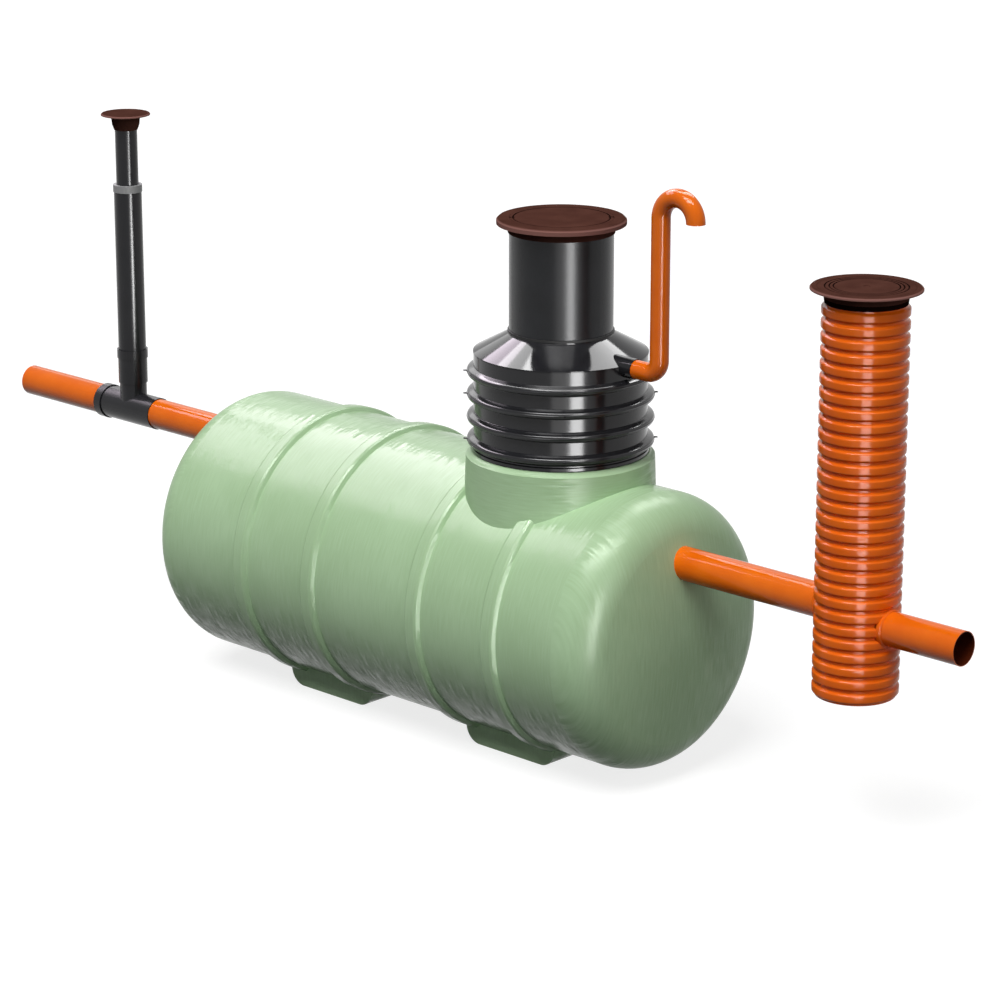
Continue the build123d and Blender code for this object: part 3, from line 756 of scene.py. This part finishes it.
def studio_floor():
    """Pale floor that takes the shadow; it sends little light back up."""
    half = FLOOR_SIZE / 2
    mesh = bpy.data.meshes.new("floor")
    corners = [(-half, -half, 0), (half, -half, 0), (half, half, 0), (-half, half, 0)]
    mesh.from_pydata(corners, [], [(0, 1, 2, 3)])
    floor = bpy.data.objects.new("floor", mesh)
    bpy.context.scene.collection.objects.link(floor)
    made, tree, shader = new_material("floor_paint")
    shown = seen_directly(tree)
    colour = add(
        tree,
        "ShaderNodeMix",
        {0: shown, MIX_FROM: linear(FLOOR_LIGHTING), MIX_TO: linear(FLOOR_SEEN)},
        data_type="RGBA",
    )
    glow = add(tree, "ShaderNodeMath", {0: shown, 1: FLOOR_GLOW}, operation="MULTIPLY")
    feed(
        shader,
        {
            "Base Color": colour.outputs[MIXED],
            "Emission Strength": glow,
            "Emission Color": (1, 1, 1, 1),
            "Roughness": 0.9,
            "Specular IOR Level": 0.0,
        },
    )
    mesh.materials.append(made)


def towards(azimuth, height):
    """Unit vector to a place in the sky."""
    turn = radians(azimuth)
    rise = radians(height)
    return Vector((cos(rise) * cos(turn), cos(rise) * sin(turn), sin(rise)))


def stand_lamp(lamp, target, away, distance):
    """Puts a lamp up that way from its target, facing it, unseen by the camera."""
    stand = bpy.data.objects.new(lamp.name, lamp)
    stand.location = Vector(target) + distance * away
    stand.rotation_euler = away.to_track_quat("Z", "Y").to_euler()
    stand.visible_camera = False
    bpy.context.scene.collection.objects.link(stand)
    return stand


def studio_lamps():
    """The suns that light the object, and the cards that only its gloss shows."""
    for name, (azimuth, height, level, breadth) in SUNS.items():
        lamp = bpy.data.lights.new(name, "SUN")
        lamp.energy = level
        lamp.angle = radians(breadth)
        stand_lamp(lamp, WHOLE, towards(azimuth, height), 1.0).visible_glossy = name == "key"
    for name, card in CARDS.items():
        target, azimuth, height, distance, width, tall, level, colour, spread = card
        lamp = bpy.data.lights.new(name, "AREA")
        lamp.shape = "RECTANGLE"
        lamp.size = width
        lamp.size_y = tall
        lamp.energy = level * pi * width * tall
        lamp.color = colour
        lamp.spread = radians(spread)
        stand_lamp(lamp, target, towards(azimuth, height), distance).visible_diffuse = False


def reference_camera():
    """The camera of the reference view."""
    lens = bpy.data.cameras.new("reference_view")
    lens.lens = CAMERA_LENS_MM
    lens.clip_end = CAMERA_FAR
    camera = bpy.data.objects.new("reference_view", lens)
    camera.location = CAMERA_PLACE
    camera.rotation_euler = (radians(90 - CAMERA_PITCH), 0, radians(CAMERA_YAW))
    bpy.context.scene.collection.objects.link(camera)
    bpy.context.scene.camera = camera


def dress(material, *names):
    """Gives CAD nodes their finish."""
    for name in names:
        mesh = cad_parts[name].data
        mesh.materials.clear()
        mesh.materials.append(material)


def dress_tank():
    """Laminate for the tank, its heads, neck and feet; the feet get a lighter copy, painted light
    against the shade under the tank.
    """
    hoops = ("tank_rib_1", "tank_rib_2", "tank_rib_3", "tank_rib_4")
    dress(laminate("laminate_tank", round_tank), "tank_barrel", *hoops)
    head = laminate("laminate_head", flat_head, sheen=0.3)
    dished_end("tank_head_inlet", head)
    dished_end("tank_head_outlet", head)
    dress(laminate("laminate_neck", round_neck, sheen=0.32), "tank_neck")
    # Painted light: the feet take a lighter copy of the laminate, to make up for the shade under
    # the tank
    foot = laminate("laminate_foot_lightened", flat_sides, "#B6D4AB", "#C0DFB5")
    dress(foot, "saddle_foot_inlet", "saddle_foot_outlet")


def dress_plastics():
    """Plastics and rubbers, and the pieces that stand for ribbed and narrow mouldings."""
    finishes = {}
    for name, (dark, light, roughness, gloss, depth, nodes) in PLASTICS.items():
        finishes[name] = moulded_plastic(name, dark, light, roughness, gloss, depth)
        dress(finishes[name], *nodes)
    shaft_wall(finishes["rotomoulded_polyethylene"])
    parting_ears(finishes["rotomoulded_polyethylene"])
    chamber_wall(finishes["orange_polypropylene"])
    pipe_collar("chamber_inlet_saddle", -1, finishes["orange_polypropylene"])
    pipe_collar("chamber_outlet_saddle", 1, finishes["orange_polypropylene"])


def dress_covers():
    """Iron for each cover and the frame that it lies in."""
    for lid, (holder, rim, insets) in COVERS.items():
        low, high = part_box(lid)
        grooves = [(high.x - low.x) / 2 - inset for inset in insets]
        dress(cast_cover("bitumen_iron_" + lid, rim, grooves), lid, holder)


def dished_end(node, material):
    """A tank head that shades evenly at its middle, where the CAD mesh has stray normals."""
    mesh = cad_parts[node].data.copy()
    mesh.name = node + "_shell"
    normals = [corner.vector.copy() for corner in mesh.corner_normals]
    for face in mesh.polygons:
        for corner in face.loop_indices:
            at = mesh.vertices[mesh.loops[corner].vertex_index].co
            if hypot(at.y, at.z - AXIS_Z) < POLE:
                normals[corner] = Vector((1.0 if face.normal.x > 0 else -1.0, 0.0, 0.0))
    mesh.normals_split_custom_set(normals)
    mesh.materials.clear()
    mesh.materials.append(material)
    piece = bpy.data.objects.new(mesh.name, mesh)
    bpy.context.scene.collection.objects.link(piece)
    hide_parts(node)
    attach(piece, "root")


def chamber_wall(material):
    """Corrugated wall of the sampling chamber, its ribs fully rounded."""
    sizes = {
        "Bottom": CHAMBER_LOW.z,
        "Top": CHAMBER_HIGH.z,
        "Bore": CHAMBER_R - CHAMBER_WALL,
        "Groove": CHAMBER_R - CHAMBER_RIB_DEPTH,
        "Crest": CHAMBER_R,
        "First rib": CHAMBER_LOW.z + CHAMBER_PITCH / 2,
        "Pitch": CHAMBER_PITCH,
        "Ribs": CHAMBER_RIBS,
        "Rib half width": 28.5 * MM,
        "Shoulder": 0.48,
        "Crown": 2.0 * MM,
        "Bead": 0.0,
        "Bead half width": 2.0 * MM,
        "Collar": 0.0,
        "Collar height": 0.0,
        "Collar half width": 10.0 * MM,
        "Centre X": CHAMBER_X,
        "Rows": CHAMBER_RIBS * CHAMBER_ROWS_PER_RIB + 1,
        "Around": 112,
    }
    inlet = (-1, middle_of("chamber_inlet_saddle").z, SADDLE_HOLE_R)
    outlet = (1, middle_of("chamber_outlet_saddle").z, SADDLE_HOLE_R)
    piece = ribbed_wall("chamber_wall", sizes, (inlet, outlet), material)
    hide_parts("sampling_chamber")
    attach(piece, "root")


def shaft_wall(material):
    """Moulded wall of the access shaft: half-round ribs with a fine parting bead on each."""
    sizes = {
        "Bottom": SHAFT_LOW.z,
        "Top": SHAFT_HIGH.z,
        "Bore": SHAFT_R - SHAFT_WALL,
        "Groove": SHAFT_R,
        "Crest": SHAFT_R + SHAFT_RIB_DEPTH - SHAFT_BEAD,
        "First rib": SHAFT_FIRST_RIB,
        "Pitch": SHAFT_PITCH,
        "Ribs": SHAFT_RIBS,
        "Rib half width": 31.0 * MM,
        "Shoulder": 0.3,
        "Crown": 9.0 * MM,
        "Bead": SHAFT_BEAD,
        "Bead half width": 5.0 * MM,
        "Collar": 8.0 * MM,
        "Collar height": NECK_HIGH.z + 10.0 * MM,
        "Collar half width": 11.0 * MM,
        "Centre X": 0.0,
        "Rows": 280,
        "Around": 224,
    }
    piece = ribbed_wall("shaft_wall", sizes, (), material)
    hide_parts("access_shaft")
    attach(piece, "root")


def pipe_collar(node, side, material):
    """Narrow collar that closes the chamber's wall round a pipe, in place of a wide saddle."""
    middle = middle_of(node)
    outer = CHAMBER_X + side * (CHAMBER_R - COLLAR_INSET)
    inner = CHAMBER_X + side * (CHAMBER_R - COLLAR_REACH)
    bore = PIPE_R + COLLAR_BORE_GAP
    rim = SADDLE_HOLE_R + COLLAR_OVERLAP
    section = [
        (inner, bore),
        (outer, bore),
        (outer + side * LIP, bore + LIP),
        (outer, bore + LIP_WIDTH),
        (outer - side * LIP_SLOPE, rim),
        (inner, rim),
    ]
    corners = []
    for step in range(COLLAR_SIDES):
        turn = side * 2 * pi * step / COLLAR_SIDES
        corners += [(x, r * cos(turn), middle.z + r * sin(turn)) for x, r in section]
    count = len(section)
    faces = []
    for step in range(COLLAR_SIDES):
        here = step * count
        there = (step + 1) % COLLAR_SIDES * count
        for low in range(count):
            high = (low + 1) % count
            faces.append((here + low, here + high, there + high, there + low))
    mesh = bpy.data.meshes.new(node + "_collar")
    mesh.from_pydata(corners, [], faces)
    mesh.shade_smooth()
    mesh.set_sharp_from_angle(angle=SHARP_EDGE)
    mesh.materials.append(material)
    piece = bpy.data.objects.new(node + "_collar", mesh)
    bpy.context.scene.collection.objects.link(piece)
    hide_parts(node)
    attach(piece, "root")


def parting_ears(material):
    """Forked ears on the shaft's parting line, four to a rib and none on the second rib."""
    sizes = {
        "First rib": SHAFT_FIRST_RIB,
        "Pitch": SHAFT_PITCH,
        "Ribs": SHAFT_RIBS,
        "Bare rib": 1,
        "Ears": 4,
        "Root radius": SHAFT_R + SHAFT_RIB_DEPTH - 4.0 * MM,
        "Prong length": 21.0 * MM,
        "Prong radius": 4.5 * MM,
        "Tip share": 0.25,
        "Splay": radians(24),
    }
    tree, given = size_tree("parting_ears", sizes)
    column = add(
        tree,
        "GeometryNodeMeshLine",
        {
            "Count": given["Ribs"],
            "Start Location": add(tree, "ShaderNodeCombineXYZ", {2: given["First rib"]}),
            "Offset": add(tree, "ShaderNodeCombineXYZ", {2: given["Pitch"]}),
        },
    )
    bare = add(
        tree,
        "ShaderNodeMath",
        {0: add(tree, "GeometryNodeInputIndex"), 1: given["Bare rib"], 2: SAME_RIB},
        operation="COMPARE",
    )
    column = add(tree, "GeometryNodeDeleteGeometry", {"Geometry": column, "Selection": bare})
    ring = add(
        tree,
        "GeometryNodeMeshCircle",
        {"Vertices": given["Ears"], "Radius": given["Root radius"]},
    )
    ring = add(tree, "GeometryNodeTransform", {"Geometry": ring, "Rotation": (0, 0, pi / 4)})
    spots = add(tree, "GeometryNodeInstanceOnPoints", {"Points": column, "Instance": ring})
    spots = add(tree, "GeometryNodeRealizeInstances", {0: spots})
    tip = add(
        tree,
        "ShaderNodeMath",
        {0: given["Prong radius"], 1: given["Tip share"]},
        operation="MULTIPLY",
    )
    prong = add(
        tree,
        "GeometryNodeMeshCone",
        {
            "Vertices": EAR_SIDES,
            "Radius Top": tip,
            "Radius Bottom": given["Prong radius"],
            "Depth": given["Prong length"],
        },
    )
    prongs = []
    for side in (-1, 1):
        splay = add(tree, "ShaderNodeMath", {0: given["Splay"], 1: side}, operation="MULTIPLY")
        lean = add(tree, "ShaderNodeCombineXYZ", {1: pi / 2, 2: splay})
        prongs.append(add(tree, "GeometryNodeTransform", {"Geometry": prong, "Rotation": lean}))
    fork = add(tree, "GeometryNodeJoinGeometry", {0: prongs})
    outwards = add(
        tree,
        "ShaderNodeVectorMath",
        {0: add(tree, "GeometryNodeInputPosition"), 1: (1, 1, 0)},
        operation="MULTIPLY",
    )
    facing = add(tree, "FunctionNodeAlignRotationToVector", {"Vector": outwards}, axis="X")
    ears = add(
        tree,
        "GeometryNodeInstanceOnPoints",
        {"Points": spots, "Instance": fork, "Rotation": facing},
    )
    close_tree(tree, ears, given)
    piece = grow("parting_ears", tree, sizes, material)
    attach(piece, "root")


bpy.context.scene.view_settings.view_transform = "Standard"
reference_camera()
studio_world()
studio_floor()
studio_lamps()
dress_tank()
dress_plastics()
dress_covers()
